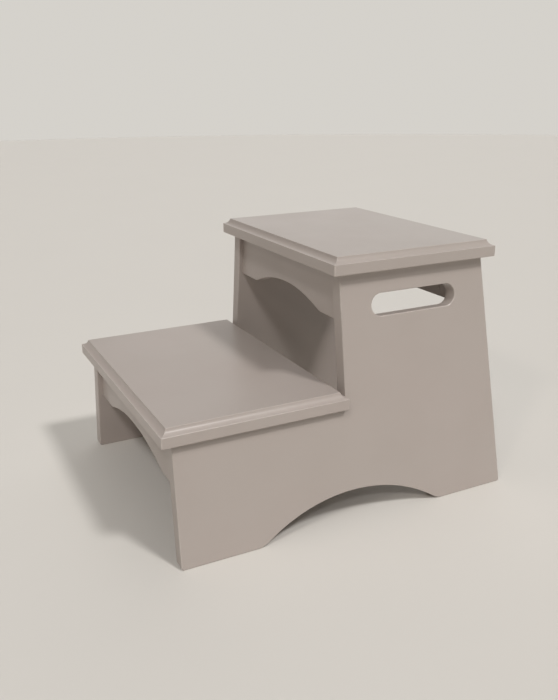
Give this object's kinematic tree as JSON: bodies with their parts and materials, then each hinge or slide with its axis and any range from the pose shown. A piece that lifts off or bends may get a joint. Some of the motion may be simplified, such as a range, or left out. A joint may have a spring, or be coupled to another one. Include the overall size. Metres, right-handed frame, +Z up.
{
  "type": "step stool",
  "caption": "Two-step painted wooden stool with splayed side panels, hand slots, arched feet, coved treads and scalloped aprons.",
  "frame": {"origin": "on the floor, at the middle of the width and depth", "axes": "+Z up, -Y towards the user who climbs the stool, +X to the user's right"},
  "size_m": [0.3994, 0.4924, 0.345],
  "materials": {
    "painted_boards": "warm greige satin paint, sprayed over sanded wood",
    "dowel_wood": "bare beech, glued",
    "screw_steel": "zinc-plated"
  },
  "bodies": {
    "root": {"side_panel_left": "painted_boards", "side_panel_right": "painted_boards", "top_tread": "painted_boards", "lower_tread": "painted_boards", "top_apron": "painted_boards", "lower_apron": "painted_boards", "back_rail": "painted_boards", "top_tread_dowels": "dowel_wood", "lower_tread_dowels": "dowel_wood", "top_apron_dowels": "dowel_wood", "lower_apron_dowels": "dowel_wood", "back_rail_dowels": "dowel_wood", "top_apron_screws": "screw_steel", "lower_apron_screws": "screw_steel", "back_rail_screws": "screw_steel"}
  },
  "joints": []
}
